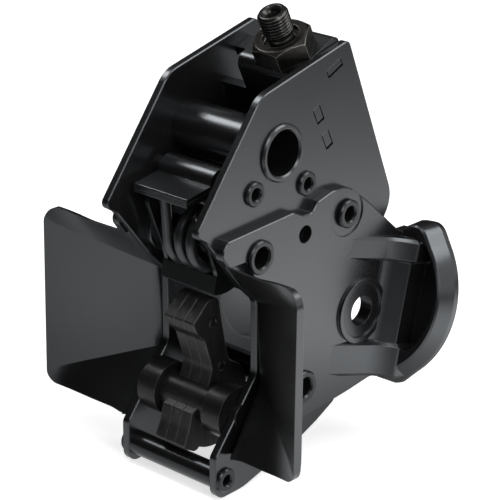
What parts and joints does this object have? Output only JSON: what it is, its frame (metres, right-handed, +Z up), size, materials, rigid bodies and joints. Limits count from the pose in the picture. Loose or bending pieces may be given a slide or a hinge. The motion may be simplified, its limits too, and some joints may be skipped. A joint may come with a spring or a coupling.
{
  "type": "cab tilt lock",
  "caption": "Black steel cab tilt lock with a hooked claw between guide plates, a sprung pawl and a hydraulic release.",
  "frame": {"origin": "centre of the main bush's bore, midway between the two side plates", "axes": "+X along the main bush towards the side of the hydraulic union, +Y to the rear, away from the throat, +Z up"},
  "size_m": [0.1526, 0.143, 0.2081],
  "materials": {
    "black_paint": "satin black paint",
    "dark_steel": "dark oiled steel",
    "fitting_oxide": "dark oxide",
    "seal_rubber": "matt"
  },
  "bodies": {
    "frame": {"inner_plate_left": "black_paint", "inner_plate_right": "black_paint", "guide_plate_left": "black_paint", "guide_plate_right": "black_paint", "main_bush": "black_paint", "strap_tube": "black_paint", "spacer_tube": "black_paint", "pawl_pivot_tube": "black_paint", "rocker_pivot_tube": "black_paint", "stop_tube": "black_paint", "bottom_tube": "black_paint", "pawl_collar_left": "black_paint", "pawl_collar_right": "black_paint", "spring_strap": "black_paint", "release_bracket": "black_paint", "cylinder_key": "black_paint", "rocker_sleeve_left": "black_paint", "rocker_sleeve_right": "black_paint", "release_cylinder": "black_paint", "claw_pivot_pin": "dark_steel", "claw_spacer_left": "dark_steel", "claw_spacer_right": "dark_steel", "torsion_spring": "dark_steel", "union_hexagon": "fitting_oxide", "union_nipple": "fitting_oxide"},
    "claw": {"claw_bush": "dark_steel", "claw_leaf_left": "dark_steel", "claw_leaf_middle": "dark_steel", "claw_leaf_right": "dark_steel", "claw_rivets": "dark_steel"},
    "pawl": {"pawl_yoke": "black_paint"},
    "rocker": {"release_rocker": "dark_steel"},
    "plunger": {"plunger": "dark_steel", "plunger_seal": "seal_rubber"}
  },
  "joints": [
    {"name": "claw_swing", "type": "hinge", "parent": "frame", "child": "claw", "pos_m": [0, -0.0227, -0.1152], "axis": [1, 0, 0], "range_deg": [-40, 0]},
    {"name": "plunger_slide", "type": "slide", "parent": "frame", "child": "plunger", "axis": [0, -0.4226, 0.9063], "range_m": [0, 0.0106]},
    {"name": "pawl_swing", "type": "hinge", "parent": "frame", "child": "pawl", "pos_m": [0, -0.0181, -0.041], "axis": [1, 0, 0], "range_deg": [-25.1, 0.1]},
    {"name": "rocker_swing", "type": "hinge", "parent": "frame", "child": "rocker", "pos_m": [0, 0.0384, -0.0364], "axis": [1, 0, 0], "range_deg": [-0.1, 30.1]}
  ],
  "couplings": [
    {"joint": "pawl_swing", "follows": "plunger_slide", "rad_per_m": -41.163},
    {"joint": "rocker_swing", "follows": "plunger_slide", "rad_per_m": 49.396}
  ]
}
